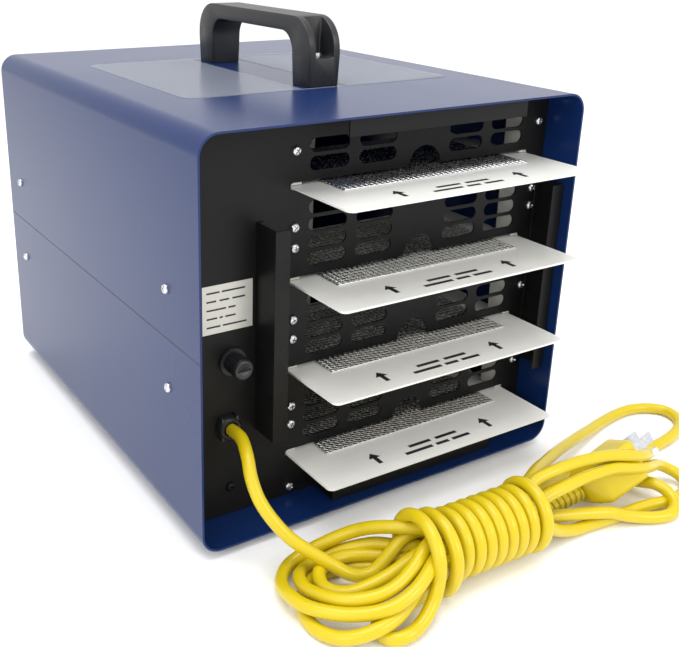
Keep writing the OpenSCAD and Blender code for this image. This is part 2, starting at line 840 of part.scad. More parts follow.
module fan_rotor() color([0.16, 0.16, 0.17]) {
    blades = 7;
    blade_t = 1.6;
    pitch_angle = 32;
    y1 = fan_back - 6;
    rod_y(fan_x, fan_z, y1 - blade_d, y1, hub_r - 1);
    translate([fan_x, y1 - blade_d / 2, fan_z]) intersection() {
        for (k = [0:blades - 1]) {
            rotate([0, k * 360 / blades, 0])
                translate([hub_r - 4, 0, 0])
                rotate([pitch_angle, 0, 0])
                translate([0, -blade_d / 2, -blade_t / 2]) cube([fan_r, blade_d, blade_t]);
        }
        rotate([90, 0, 0]) cylinder(h = blade_d, r = fan_r - tip_gap, center = true, $fn = 96);
    }
}

// Front controls
module timer_body() color([0.85, 0.85, 0.83]) {
    rod_y(control_x, timer_z, front_back, front_back + 30, 20);
    rod_y(control_x, timer_z, front_y - knob_gap, front_back, shaft_r);
}

module timer_knob() color([0.1, 0.1, 0.11]) {
    y1 = front_y - knob_gap;
    difference() {
        union() {
            rod_y(control_x, timer_z, y1 - knob_d, y1 - 3, knob_r - 3);
            rod_y(control_x, timer_z, y1 - 3, y1 - 0.1, knob_r);
        }
        box(control_x - 0.6, control_x + 0.6, y1 - knob_d - 1, y1 - knob_d + 0.8, timer_z, timer_z + knob_r);
    }
}

module switch_body() color([0.08, 0.08, 0.09]) {
    wall = 1.8;
    depth = 24;
    difference() {
        union() {
            box(control_x - rocker_w / 2 - 4, control_x + rocker_w / 2 + 4, front_y - 1.5, front_y,
                switch_z - rocker_h / 2 - 4, switch_z + rocker_h / 2 + 4);
            box(control_x - rocker_w / 2 - wall, control_x + rocker_w / 2 + wall, front_y, front_y + depth,
                switch_z - rocker_h / 2 - wall, switch_z + rocker_h / 2 + wall);
        }
        box(control_x - rocker_w / 2 - rocker_gap, control_x + rocker_w / 2 + rocker_gap, front_y - 2,
            front_y + depth - wall, switch_z - rocker_h / 2 - rocker_gap,
            switch_z + rocker_h / 2 + rocker_gap);
    }
}

module power_rocker() color([0.75, 0.08, 0.06]) {
    along_x(control_x - rocker_w / 2, control_x + rocker_w / 2)
    translate([rocker_pivot_y, switch_z]) intersection() {
        circle(rocker_h / 2, $fn = 64);
        translate([-rocker_h / 2, -rocker_h / 2]) square([rocker_h / 2 + 3, rocker_h]);
    }
}

// Electrode plates with their mesh
module plate(i) color([0.94, 0.94, 0.92]) {
    corner = 4;
    translate([plate_x, plate_edge(i) - plate_len, plate_z(i) - plate_t]) linear_extrude(plate_t)
        rounded_rect(plate_w, plate_len, corner);
}

module electrode_mesh(i) color([0.6, 0.6, 0.61]) {
    w = plate_w - 2 * mesh_side;
    y1 = plate_edge(i) - mesh_front;
    box(plate_x - w / 2, plate_x + w / 2, y1 - mesh_len, y1, plate_z(i), plate_z(i) + mesh_t);
}

module plate_1() { plate(0); }
module plate_2() { plate(1); }
module plate_3() { plate(2); }
module plate_4() { plate(3); }
module mesh_1() { electrode_mesh(0); }
module mesh_2() { electrode_mesh(1); }
module mesh_3() { electrode_mesh(2); }
module mesh_4() { electrode_mesh(3); }

lower_shell();
upper_shell();
rear_panel();
front_panel();
handle();
handle_screws();
rubber_feet();
divider();
guide_left();
guide_right();
contact_bar();
contact_clips();
hv_transformer();
driver_board();
hv_lead();
terminal_block();
fuse_holder();
fuse();
cord_bushing();
cord();
cord_hank();
plug_body();
plug_blades();
bracket_left();
bracket_right();
bracket_top();
bracket_bottom();
rear_screws();
ground_screw();
side_screws();
front_screws();
rating_label();
top_label();
fan_frame();
fan_guard();
timer_body();
switch_body();
plate_1();
plate_2();
plate_3();
plate_4();
mesh_1();
mesh_2();
mesh_3();
mesh_4();
fan_rotor();
timer_knob();
power_rocker();
fuse_cap();
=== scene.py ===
"""Looks for the ozone air purifier cabinet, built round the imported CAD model.

+Z is up, +Y is the rear with the plates, and +X is the side of the mains cord.
Sizes in this file are in millimetres unless a name says otherwise, and MM turns them into metres.
"""

import math

import bmesh
import bpy
from mathutils import Matrix, Vector


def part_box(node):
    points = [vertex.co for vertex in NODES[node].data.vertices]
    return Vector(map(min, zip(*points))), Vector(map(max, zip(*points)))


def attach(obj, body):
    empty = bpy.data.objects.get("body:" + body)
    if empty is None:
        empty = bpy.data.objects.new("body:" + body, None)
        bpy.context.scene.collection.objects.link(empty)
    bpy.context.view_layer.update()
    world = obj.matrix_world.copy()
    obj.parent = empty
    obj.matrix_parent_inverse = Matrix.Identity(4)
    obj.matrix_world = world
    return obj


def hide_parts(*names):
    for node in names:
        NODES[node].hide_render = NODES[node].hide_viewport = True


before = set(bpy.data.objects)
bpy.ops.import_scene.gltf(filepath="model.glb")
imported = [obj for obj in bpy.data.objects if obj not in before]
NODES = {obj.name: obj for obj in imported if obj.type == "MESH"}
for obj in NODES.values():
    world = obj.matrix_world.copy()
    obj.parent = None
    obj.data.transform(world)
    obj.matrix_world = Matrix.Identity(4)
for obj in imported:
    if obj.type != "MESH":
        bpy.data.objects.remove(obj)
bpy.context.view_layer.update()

MM = 0.001
scene = bpy.context.scene


# ---------------------------------------------------------------- studio and camera
def look(obj, right, up, back, at):
    """Places a camera or light with its own axes along these directions."""
    m = Matrix((right, up, back)).transposed().to_4x4()
    m.translation = Vector(at)
    obj.matrix_world = m


def make_camera():
    data = bpy.data.cameras.new("camera")
    data.lens = 49.80
    data.sensor_width = 36
    data.shift_x = 0.1024
    data.shift_y = -0.0788
    camera = bpy.data.objects.new("camera", data)
    scene.collection.objects.link(camera)
    look(camera, (-0.85542, 0.51778, 0.01267), (-0.16687, -0.29869, 0.93965),
         (0.49032, 0.80168, 0.34191), (0.3301, 0.5515, 0.3343))
    scene.camera = camera


def area_light(name, at, target, size, power):
    data = bpy.data.lights.new(name, "AREA")
    data.shape = "DISK"
    data.size = size
    data.energy = power
    light = bpy.data.objects.new(name, data)
    scene.collection.objects.link(light)
    light.location = at
    light.rotation_euler = (Vector(target) - Vector(at)).to_track_quat("-Z", "Y").to_euler()


def make_studio():
    world = bpy.data.worlds.new("studio")
    scene.world = world
    world.use_nodes = True
    background = world.node_tree.nodes["Background"]
    background.inputs["Color"].default_value = (1, 1, 1, 1)
    background.inputs["Strength"].default_value = 1.0
    area_light("light_top", (0.2, 0.1, 1.9), (0, 0, 0.1), 1.6, 24)
    area_light("light_left", (1.7, 0.9, 1.0), (0, 0, 0.12), 1.2, 10)
    area_light("light_rear", (-0.7, 1.9, 1.2), (0, 0.1, 0.1), 1.0, 13)
    scene.view_settings.view_transform = "Standard"


def make_floor(finish):
    mesh = bpy.data.meshes.new("floor")
    bm = bmesh.new()
    bmesh.ops.create_circle(bm, cap_ends=True, segments=64, radius=14)
    bm.to_mesh(mesh)
    bm.free()
    floor = bpy.data.objects.new("floor", mesh)
    scene.collection.objects.link(floor)
    floor.data.materials.append(finish)


# ---------------------------------------------------------------- materials
def material(name, color, rough, metallic=0.0, vary=0.08, vary_mm=30.0, rough_vary=0.05, grain=0.0,
             grain_mm=0.6, grain_depth=0.05, stretch=(1, 1, 1), specular=0.5, coat=0.0, alpha=1.0,
             transmission=0.0, kind="noise"):
    """Procedural finish: slow colour and gloss variation, and a fine relief called the grain."""
    m = bpy.data.materials.new(name)
    m.use_nodes = True
    nodes, links = m.node_tree.nodes, m.node_tree.links
    shader = nodes["Principled BSDF"]
    shader.inputs["Metallic"].default_value = metallic
    shader.inputs["Specular IOR Level"].default_value = specular
    shader.inputs["Coat Weight"].default_value = coat
    shader.inputs["Coat Roughness"].default_value = 0.08
    shader.inputs["Alpha"].default_value = alpha
    shader.inputs["Transmission Weight"].default_value = transmission
    place = nodes.new("ShaderNodeTexCoord")
    scale = nodes.new("ShaderNodeMapping")
    scale.inputs["Scale"].default_value = stretch
    links.new(place.outputs["Object"], scale.inputs["Vector"])
    slow = nodes.new("ShaderNodeTexNoise")
    slow.inputs["Scale"].default_value = 1 / (vary_mm * MM)
    slow.inputs["Detail"].default_value = 4
    links.new(scale.outputs["Vector"], slow.inputs["Vector"])
    mix = nodes.new("ShaderNodeMix")
    mix.data_type = "RGBA"
    mix.inputs["A"].default_value = [c * (1 - vary) for c in color] + [1]
    mix.inputs["B"].default_value = [min(1, c * (1 + vary)) for c in color] + [1]
    links.new(slow.outputs["Fac"], mix.inputs["Factor"])
    links.new(mix.outputs["Result"], shader.inputs["Base Color"])
    spread = nodes.new("ShaderNodeMapRange")
    spread.inputs["To Min"].default_value = max(0.02, rough - rough_vary)
    spread.inputs["To Max"].default_value = min(1, rough + rough_vary)
    links.new(slow.outputs["Fac"], spread.inputs["Value"])
    links.new(spread.outputs["Result"], shader.inputs["Roughness"])
    if grain:
        if kind == "cells":
            fine = nodes.new("ShaderNodeTexVoronoi")
            fine.feature = "SMOOTH_F1"
            height = fine.outputs["Distance"]
        else:
            fine = nodes.new("ShaderNodeTexNoise")
            fine.inputs["Detail"].default_value = 3
            height = fine.outputs["Fac"]
        fine.inputs["Scale"].default_value = 1 / (grain_mm * MM)
        links.new(scale.outputs["Vector"], fine.inputs["Vector"])
        bump = nodes.new("ShaderNodeBump")
        bump.inputs["Strength"].default_value = grain
        bump.inputs["Distance"].default_value = grain_depth * MM
        links.new(height, bump.inputs["Height"])
        links.new(bump.outputs["Normal"], shader.inputs["Normal"])
    return m


LOOKS = {
    "blue_paint": material("blue_paint", (0.005, 0.021, 0.098), 0.24, vary=0.05, vary_mm=60, rough_vary=0.03,
                           grain=0.2, grain_mm=2.6, grain_depth=0.03, specular=0.29),
    "black_paint": material("black_paint", (0.0065, 0.0065, 0.0065), 0.42, vary=0.3, vary_mm=9,
                            rough_vary=0.06, grain=0.55, grain_mm=0.95, grain_depth=0.12, specular=0.17,
                            kind="cells"),
    "black_plastic": material("black_plastic", (0.014, 0.0145, 0.016), 0.38, vary=0.2, vary_mm=12,
                              grain=0.3, grain_mm=0.5, grain_depth=0.04, specular=0.45),
    "ivory_plastic": material("ivory_plastic", (0.62, 0.61, 0.56), 0.45, grain=0.2, grain_mm=0.8),
    "zinc": material("zinc", (0.62, 0.63, 0.65), 0.24, metallic=1.0, vary=0.14, vary_mm=1.6, rough_vary=0.06,
                     grain=0.08, grain_mm=0.5, grain_depth=0.01),
    "rubber": material("rubber", (0.016, 0.016, 0.016), 0.72, grain=0.4, grain_mm=0.5, specular=0.3),
    "galvanised": material("galvanised", (0.5, 0.52, 0.54), 0.42, metallic=1.0, vary=0.18, vary_mm=7,
                           rough_vary=0.12, grain=0.1, grain_mm=2, kind="cells"),
    "brass": material("brass", (0.68, 0.47, 0.17), 0.26, metallic=1.0, vary=0.12, vary_mm=3, rough_vary=0.08,
                      grain=0.12, grain_mm=0.4, grain_depth=0.02),
    "transformer": material("transformer", (0.02, 0.02, 0.022), 0.55, grain=0.5, grain_mm=1.6),
    "circuit_board": material("circuit_board", (0.01, 0.11, 0.035), 0.35, vary=0.35, vary_mm=4, grain=0.2),
    "red_silicone": material("red_silicone", (0.5, 0.02, 0.012), 0.4, grain=0.15),
    "clear_glass": material("clear_glass", (0.75, 0.8, 0.8), 0.06, transmission=0.85, vary=0.03),
    "yellow_pvc": material("yellow_pvc", (0.585, 0.445, 0.006), 0.30, vary=0.05, vary_mm=18, rough_vary=0.06,
                           grain=0.22, grain_mm=1.1, grain_depth=0.04, specular=0.45),
    "label_silver": material("label_silver", (0.56, 0.55, 0.50), 0.36, metallic=0.15, vary=0.05, vary_mm=8,
                             grain=0.1, grain_mm=0.4),
    "clear_film": material("clear_film", (0.52, 0.56, 0.64), 0.24, vary=0.05, vary_mm=40, alpha=0.34,
                           grain=0.25, grain_mm=9, grain_depth=0.05, specular=0.6),
    "ceramic": material("ceramic", (0.74, 0.735, 0.70), 0.33, vary=0.04, vary_mm=14, rough_vary=0.05,
                        grain=0.25, grain_mm=1.4, grain_depth=0.02, specular=0.5),
    "steel_mesh": material("steel_mesh", (0.86, 0.86, 0.84), 0.26, metallic=1.0, vary=0.18, vary_mm=2.4,
                           rough_vary=0.1, grain=0.1, grain_mm=0.3),
    "red_plastic": material("red_plastic", (0.45, 0.02, 0.012), 0.28, grain=0.2, grain_mm=0.5),
}
PRINT = material("black_print", (0.012, 0.012, 0.014), 0.5, vary=0.2, vary_mm=2, grain=0.2, grain_mm=0.3)
WHITE_PRINT = material("white_print", (0.6, 0.6, 0.58), 0.5, vary=0.1, vary_mm=2, grain=0.2, grain_mm=0.3)
# Dark for joints such as the shell seam, and painted shade: the sheet under each wire mesh is dark so the
# mesh holes show shade.
DARK_SEAM_AND_SHADE = material("dark_seam_and_painted_shade", (0.006, 0.006, 0.007), 0.6, vary=0.2, vary_mm=2, grain=0.2, grain_mm=0.4)
FLOOR = material("studio_floor", (0.985, 0.985, 0.985), 0.85, vary=0.004, vary_mm=900, specular=0.15,
                 grain=0.05, grain_mm=3)

NODE_SLOTS = {
    "lower_shell": "blue_paint", "upper_shell": "blue_paint", "rear_panel": "black_paint",
    "front_panel": "black_paint", "handle_screws": "zinc", "rubber_feet": "rubber",
    "divider": "galvanised", "guide_left": "ivory_plastic", "guide_right": "ivory_plastic",
    "contact_bar": "ivory_plastic", "contact_clips": "brass", "hv_transformer": "transformer",
    "driver_board": "circuit_board", "hv_lead": "red_silicone", "terminal_block": "ivory_plastic",
    "fuse_holder": "black_plastic", "fuse": "clear_glass", "plug_blades": "zinc",
    "bracket_left": "black_paint", "bracket_right": "black_paint", "bracket_top": "black_paint",
    "bracket_bottom": "black_paint", "rating_label": "label_silver", "top_label": "clear_film",
    "fan_frame": "black_plastic", "timer_body": "ivory_plastic", "switch_body": "black_plastic",
    "plate_1": "ceramic", "plate_2": "ceramic", "plate_3": "ceramic", "plate_4": "ceramic",
    "power_rocker": "red_plastic",
}
EDGE_RADIUS = {
    "rear_panel": 0.35, "front_panel": 0.35, "handle_screws": 0.3,
    "rubber_feet": 1.0, "divider": 0.2, "guide_left": 0.5, "guide_right": 0.5, "contact_bar": 0.4,
    "hv_transformer": 1.2, "terminal_block": 0.5, "fuse_holder": 0.6, "plug_blades": 0.3,
    "bracket_left": 0.35, "bracket_right": 0.35, "bracket_top": 0.35, "bracket_bottom": 0.35,
    "fan_frame": 0.5, "timer_body": 0.6, "switch_body": 0.5, "plate_1": 0.35, "plate_2": 0.35,
    "plate_3": 0.35, "plate_4": 0.35, "power_rocker": 0.7,
}


def dress_nodes():
    """Gives the CAD nodes that stay on show their finish and softly broken edges."""
    for name, finish in NODE_SLOTS.items():
        obj = NODES[name]
        mesh = obj.data
        mesh.materials.clear()
        mesh.materials.append(LOOKS[finish])
        if "custom_normal" in mesh.attributes:
            mesh.attributes.remove(mesh.attributes["custom_normal"])
        mesh.polygons.foreach_set("use_smooth", [True] * len(mesh.polygons))
        weld = obj.modifiers.new("weld", "WELD")
        weld.merge_threshold = 1e-6
        if name in EDGE_RADIUS:
            bevel = obj.modifiers.new("edges", "BEVEL")
            bevel.width = EDGE_RADIUS[name] * MM
            bevel.segments = 2
            bevel.limit_method = "ANGLE"
            bevel.angle_limit = math.radians(40)
            obj.modifiers.new("normals", "WEIGHTED_NORMAL")
        else:
            split = obj.modifiers.new("split", "EDGE_SPLIT")
            split.split_angle = math.radians(35)


# ---------------------------------------------------------------- mesh helpers
def add_object(name, bm, finish, smooth_deg=35, scale=MM):
    """Links a bmesh drawn in millimetres as an object in metres."""
    bmesh.ops.recalc_face_normals(bm, faces=bm.faces)
    for v in bm.verts:
        v.co *= scale
    mesh = bpy.data.meshes.new(name)
    bm.to_mesh(mesh)
    bm.free()
    obj = bpy.data.objects.new(name, mesh)
    scene.collection.objects.link(obj)
    mesh.materials.append(finish)
    mesh.polygons.foreach_set("use_smooth", [True] * len(mesh.polygons))
    mesh.set_sharp_from_angle(angle=math.radians(smooth_deg))
    return obj


def settle(obj):
    """Applies an object's modifiers to its mesh."""
    graph = bpy.context.evaluated_depsgraph_get()
    mesh = bpy.data.meshes.new_from_object(obj.evaluated_get(graph))
    obj.modifiers.clear()
    obj.data = mesh
    return obj


def place(obj, body, finish, *replaced):
    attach(obj, body)
    if replaced:
        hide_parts(*replaced)
    return obj


def ring_loop(bm, points):
    return [bm.verts.new(p) for p in points]


def bridge(bm, a, b):
    n = len(a)
    for k in range(n):
        bm.faces.new((a[k], a[(k + 1) % n], b[(k + 1) % n], b[k]))


def loft(bm, loops, close_start=True, close_end=True):
    """Skin through rings of points that have the same count."""
    rings = [ring_loop(bm, points) for points in loops]
    for a, b in zip(rings, rings[1:]):
        bridge(bm, a, b)
    if close_start:
        bm.faces.new(list(reversed(rings[0])))
    if close_end:
        bm.faces.new(rings[-1])
    return rings


def lathe(bm, profile, matrix, sides=48, close_start=True, close_end=True):
    """Turns a profile of (radius, height) pairs about the local Z axis."""
    loops = []
    for r, h in profile:
        loops.append([matrix @ Vector((r * math.cos(2 * math.pi * k / sides),
                                       r * math.sin(2 * math.pi * k / sides), h)) for k in range(sides)])
    return loft(bm, loops, close_start, close_end)


def block(bm, lo, hi, radius=0.0, segments=2):
    """Box between two corners with rounded edges."""
    start = set(bm.verts)
    made = bmesh.ops.create_cube(bm, size=1.0)["verts"]
    for v in made:
        v.co = Vector([(a + b) / 2 + c * (b - a) for a, b, c in zip(lo, hi, v.co)])
    if radius:
        edges = {e for v in made for e in v.link_edges}
        bmesh.ops.bevel(bm, geom=list(edges), offset=radius, segments=segments, profile=0.5, affect="EDGES")
    return [v for v in bm.verts if v not in start]


def tube(bm, points, radius, sides=8):
    """Round bar through points."""
    points = [Vector(p) for p in points]
    loops = []
    for i, p in enumerate(points):
        d = (points[min(i + 1, len(points) - 1)] - points[max(i - 1, 0)]).normalized()
        s = (Vector((0, 0, 1)) if abs(d.z) < 0.9 else Vector((1, 0, 0))).cross(d).normalized()
        u = d.cross(s)
        turns = [2 * math.pi * k / sides for k in range(sides)]
        loops.append([p + radius * (math.cos(a) * s + math.sin(a) * u) for a in turns])
    loft(bm, loops)


def torus(bm, centre, radius, wire, sides=96, wire_sides=10):
    """Wire ring in the XZ plane."""
    loops = []
    for i in range(sides):
        a = 2 * math.pi * i / sides
        out = Vector((math.cos(a), 0, math.sin(a)))
        turns = [2 * math.pi * k / wire_sides for k in range(wire_sides)]
        loops.append([Vector(centre) + out * (radius + wire * math.cos(t))
                      + Vector((0, wire * math.sin(t), 0)) for t in turns])
    rings = [ring_loop(bm, points) for points in loops]
    for a, b in zip(rings, rings[1:] + rings[:1]):
        bridge(bm, a, b)


def node_box(name):
    lo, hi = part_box(name)
    return lo / MM, hi / MM


# ---------------------------------------------------------------- screws
def cross(arm, half, z):
    """Plus-shaped ring of points at height z."""
    quarter = [(arm, -half), (arm, half), (half, half)]
    turns = [Matrix.Rotation(math.radians(90 * k), 4, "Z") for k in range(4)]
    return [turn @ Vector((x, y, z)) for turn in turns for x, y in quarter]


def phillips(r, h):
    """Pan head with a cross recess, its seat at height 0 and its top along +Z, in millimetres."""
    bm = bmesh.new()
    steps = 10
    profile = [(r * 0.99, 0), (r, h * 0.12)]
    for k in range(1, steps):
        a = math.radians(90 * k / steps)
        profile.append((r * (0.28 + 0.72 * math.cos(a) ** 0.85), h * (0.12 + 0.88 * math.sin(a) ** 0.9)))
    profile.append((r * 0.24, h))
    lathe(bm, profile, Matrix.Identity(4), 40)
    head = add_object("screw_master", bm, LOOKS["zinc"], scale=1)
    bm = bmesh.new()
    loft(bm, [cross(r * 0.26, r * 0.08, h * 0.4), cross(r * 0.62, r * 0.14, h * 1.1)])
    cutter = add_object("screw_cutter", bm, DARK_SEAM_AND_SHADE, scale=1)
    cut = head.modifiers.new("cross", "BOOLEAN")
    cut.object = cutter
    cut.operation = "DIFFERENCE"
    cut.solver = "EXACT"
    settle(head)
    mesh = head.data
    bpy.data.objects.remove(head)
    bpy.data.objects.remove(cutter)
    return mesh


def screws(name, heads, body="housing", finish="zinc"):
    """heads are (seat centre, direction, radius, height, turn in degrees)."""
    bm = bmesh.new()
    for at, direction, r, h, turn in heads:
        key = (round(r, 2), round(h, 2))
        if key not in HEADS:
            HEADS[key] = phillips(*key)
        copy = bmesh.new()
        copy.from_mesh(HEADS[key])
        m = Matrix.Translation(at) @ Vector(direction).to_track_quat("Z", "Y").to_matrix().to_4x4()
        m = m @ Matrix.Rotation(math.radians(turn), 4, "Z")
        copy.transform(m)
        part = bpy.data.meshes.new("part")
        copy.to_mesh(part)
        copy.free()
        bm.from_mesh(part)
        bpy.data.meshes.remove(part)
    obj = add_object(name, bm, LOOKS[finish], 30)
    return place(obj, body, finish, name.replace("_heads", ""))


HEADS = {}
PANEL_Y = 133.5
FRONT_Y = -144.0
SCREW_XS = (58.9, -123.5)
PLATE_X = -27.5
PLATE_ZS = (201.8, 146.3, 90.8, 35.3)
PLATE_EDGES = (187.5, 185.5, 182.0, 180.0)


def make_screws():
    rows = [z + rise for z in PLATE_ZS[1:] for rise in (20, 32)] + [PLATE_ZS[0] + 20, PLATE_ZS[3] - 23.5]
    rear = [((x, PANEL_Y, z), (0, 1, 0), 2.9, 2.2, 37 * i + 11 * k)
            for k, x in enumerate(SCREW_XS) for i, z in enumerate(rows)]
    screws("rear_screws_heads", rear)
    screws("ground_screw_heads", [((99.9, PANEL_Y, 24.8), (0, 1, 0), 2.9, 2.2, 20)], finish="black_paint")
    lo, hi = node_box("side_screws")
    ys = (lo.y + 2.9, hi.y - 2.9)
    zs = (lo.z + 2.9, hi.z - 2.9)
    side = [((s * 132.5, y, z), (s, 0, 0), 2.9, 2.2, 25 + 40 * i)
            for s in (-1, 1) for i, (y, z) in enumerate((y, z) for y in ys for z in zs)]
    screws("side_screws_heads", side)
    lo, hi = node_box("front_screws")
    spots = [(x, z) for x in (lo.x + 2.9, hi.x - 2.9) for z in (lo.z + 2.9, hi.z - 2.9)]
    front = [((x, lo.y + 2.2, z), (0, -1, 0), 2.9, 2.2, 15 + 30 * i) for i, (x, z) in enumerate(spots)]
    screws("front_screws_heads", front)


def make_seam():
    """Dark line down each side where the upper shell meets the lower one."""
    seam_z = node_box("upper_shell")[0].z
    lo, hi = node_box("lower_shell")
    for side, x in (("left", lo.x), ("right", hi.x)):
        bm = bmesh.new()
        block(bm, (x - 0.02, lo.y + 0.3, seam_z - 0.3), (x + 0.02, hi.y - 0.3, seam_z + 0.3))
        place(add_object(f"shell_seam_{side}", bm, DARK_SEAM_AND_SHADE), "housing", "blue_paint")


# ---------------------------------------------------------------- handle
def make_handle():
    length, width, height, leg, r_out = 145.0, 22.4, 41.5, 20.0, 20.0
    grip, r_in, top = 31.8, 13.0, 243.0
    arc = 14
    half = length / 2

    def corner(cy, cz, r, a0, a1):
        return [(cy + r * math.cos(math.radians(a0 + (a1 - a0) * k / arc)),
                 cz + r * math.sin(math.radians(a0 + (a1 - a0) * k / arc))) for k in range(arc + 1)]

    outline = [(half, 0)] + corner(half - r_out, height - r_out, r_out, 0, 90)
    outline += corner(-half + r_out, height - r_out, r_out, 90, 180) + [(-half, 0)]
    outline += [(-half + leg, 0)] + corner(-half + leg + r_in, grip - r_in, r_in, 180, 90)
    outline += corner(half - leg - r_in, grip - r_in, r_in, 90, 0) + [(half - leg, 0)]
    bm = bmesh.new()
    loft(bm, [[(x, y, top + z) for y, z in outline] for x in (-width / 2, width / 2)])
    rims = [e for e in bm.edges if abs(e.verts[0].co.x - e.verts[1].co.x) < 1e-6
            and not (e.verts[0].co.z < top + 0.01 and e.verts[1].co.z < top + 0.01)]
    bmesh.ops.bevel(bm, geom=rims, offset=2.4, segments=4, profile=0.5, affect="EDGES")
    handle = add_object("handle_moulded", bm, LOOKS["black_plastic"])
    bm = bmesh.new()
    for s in (-1, 1):
        lo = (-6.5, min(s * (half - leg + 5), s * (half + 6)), top + 17.3)
        hi = (6.5, max(s * (half - leg + 5), s * (half + 6)), top + height + 6)
        block(bm, lo, hi, 1.2, 3)
    cutter = add_object("handle_cutter", bm, LOOKS["black_plastic"])
    cut = handle.modifiers.new("pockets", "BOOLEAN")
    cut.object = cutter
    cut.solver = "EXACT"
    settle(handle)
    bpy.data.objects.remove(cutter)
    soft = handle.modifiers.new("soft", "BEVEL")
    soft.width = 0.5 * MM
    soft.segments = 2
    soft.limit_method = "ANGLE"
    soft.angle_limit = math.radians(50)
    settle(handle)
    handle.data.polygons.foreach_set("use_smooth", [True] * len(handle.data.polygons))
    handle.data.set_sharp_from_angle(angle=math.radians(38))
    place(handle, "housing", "black_plastic", "handle")


# ---------------------------------------------------------------- plates
def woven(name, lo, hi, z, pitch=2.6, wire=0.62):
    """Diagonal woven wire cloth between two corners, resting on height z."""
    bm = bmesh.new()
    root = math.sqrt(0.5)
    centre = Vector(((lo[0] + hi[0]) / 2, (lo[1] + hi[1]) / 2))
    half = Vector(((hi[0] - lo[0]) / 2, (hi[1] - lo[1]) / 2))
    reach = (half.x + half.y) * root
    count = int(reach / pitch)
    for family in (0, 1):
        d = Vector((root, root)) if family == 0 else Vector((root, -root))
        n = Vector((-root, root)) if family == 0 else Vector((root, root))
        for i in range(-count, count + 1):
            spans = []
            for axis in (0, 1):
                a = (-half[axis] - n[axis] * i * pitch) / d[axis]
                b = (half[axis] - n[axis] * i * pitch) / d[axis]
                spans.append((min(a, b), max(a, b)))
            t0, t1 = max(s[0] for s in spans), min(s[1] for s in spans)
            if t1 - t0 < 2:
                continue
            first, last = math.ceil(t0 / (pitch / 2)), math.floor(t1 / (pitch / 2))
            stops = [t0] + [k * pitch / 2 for k in range(first, last + 1)] + [t1]
            points = []
            for t in stops:
                phase = math.cos(math.pi * t / pitch) * (1 if (i + family) % 2 else -1)
                p = centre + n * (i * pitch) + d * t
                points.append((p.x, p.y, z + 0.45 + 0.2 * phase))
            kept = [points[0]]
            for p in points[1:]:
                if (Vector(p) - Vector(kept[-1])).length > 0.15:
                    kept.append(p)
            tube(bm, kept, wire / 2 * 1.1, 4)
    border = 0.42
    corners = [(lo[0], lo[1]), (hi[0], lo[1]), (hi[0], hi[1]), (lo[0], hi[1])]
    for (x0, y0), (x1, y1) in zip(corners, corners[1:] + corners[:1]):
        tube(bm, [(x0, y0, z + border), (x1, y1, z + border)], border, 6)
    return add_object(name, bm, LOOKS["steel_mesh"], 60)


def make_plate_details():
    for i, (z, edge) in enumerate(zip(PLATE_ZS, PLATE_EDGES), 1):
        body = f"plate_{i}"
        lo, hi = node_box(f"mesh_{i}")
        cloth = woven(f"mesh_{i}_woven", (lo.x + 0.5, lo.y + 0.5), (hi.x - 0.5, hi.y - 0.5), lo.z)
        place(cloth, body, "steel_mesh", f"mesh_{i}")
        bm = bmesh.new()
        # Painted shade: a thin dark sheet under the wire cloth that stands in for the shade seen through the
        # mesh holes.
        block(bm, (lo.x + 0.6, lo.y + 0.6, lo.z + 0.01), (hi.x - 0.6, hi.y - 0.6, lo.z + 0.08))
        place(add_object(f"mesh_{i}_painted_shade_sheet", bm, DARK_SEAM_AND_SHADE), body, "steel_mesh")
        bm = bmesh.new()
        lift = 0.05
        for x in (17.5, -70.8):
            tip, tail = edge - 21.0, edge - 9.0
            block(bm, (x - 1.5, tip + 5.0, z), (x + 1.5, tail, z + lift))
            head = [(x - 4.2, tip + 5.4), (x, tip), (x + 4.2, tip + 5.4)]
            loft(bm, [[(a, b, z) for a, b in head], [(a, b, z + lift) for a, b in head]])
        for row, spans in enumerate((((-25, -11), (-8, 2), (5, 26)), ((-19, -2), (2, 19)))):
            y = edge - 9.5 - 6.0 * row
            for x0, x1 in spans:
                block(bm, (PLATE_X + x0, y - 1.3, z), (PLATE_X + x1, y + 1.3, z + lift))
        marks = add_object(f"plate_{i}_marks", bm, PRINT)
        place(marks, body, "ceramic")


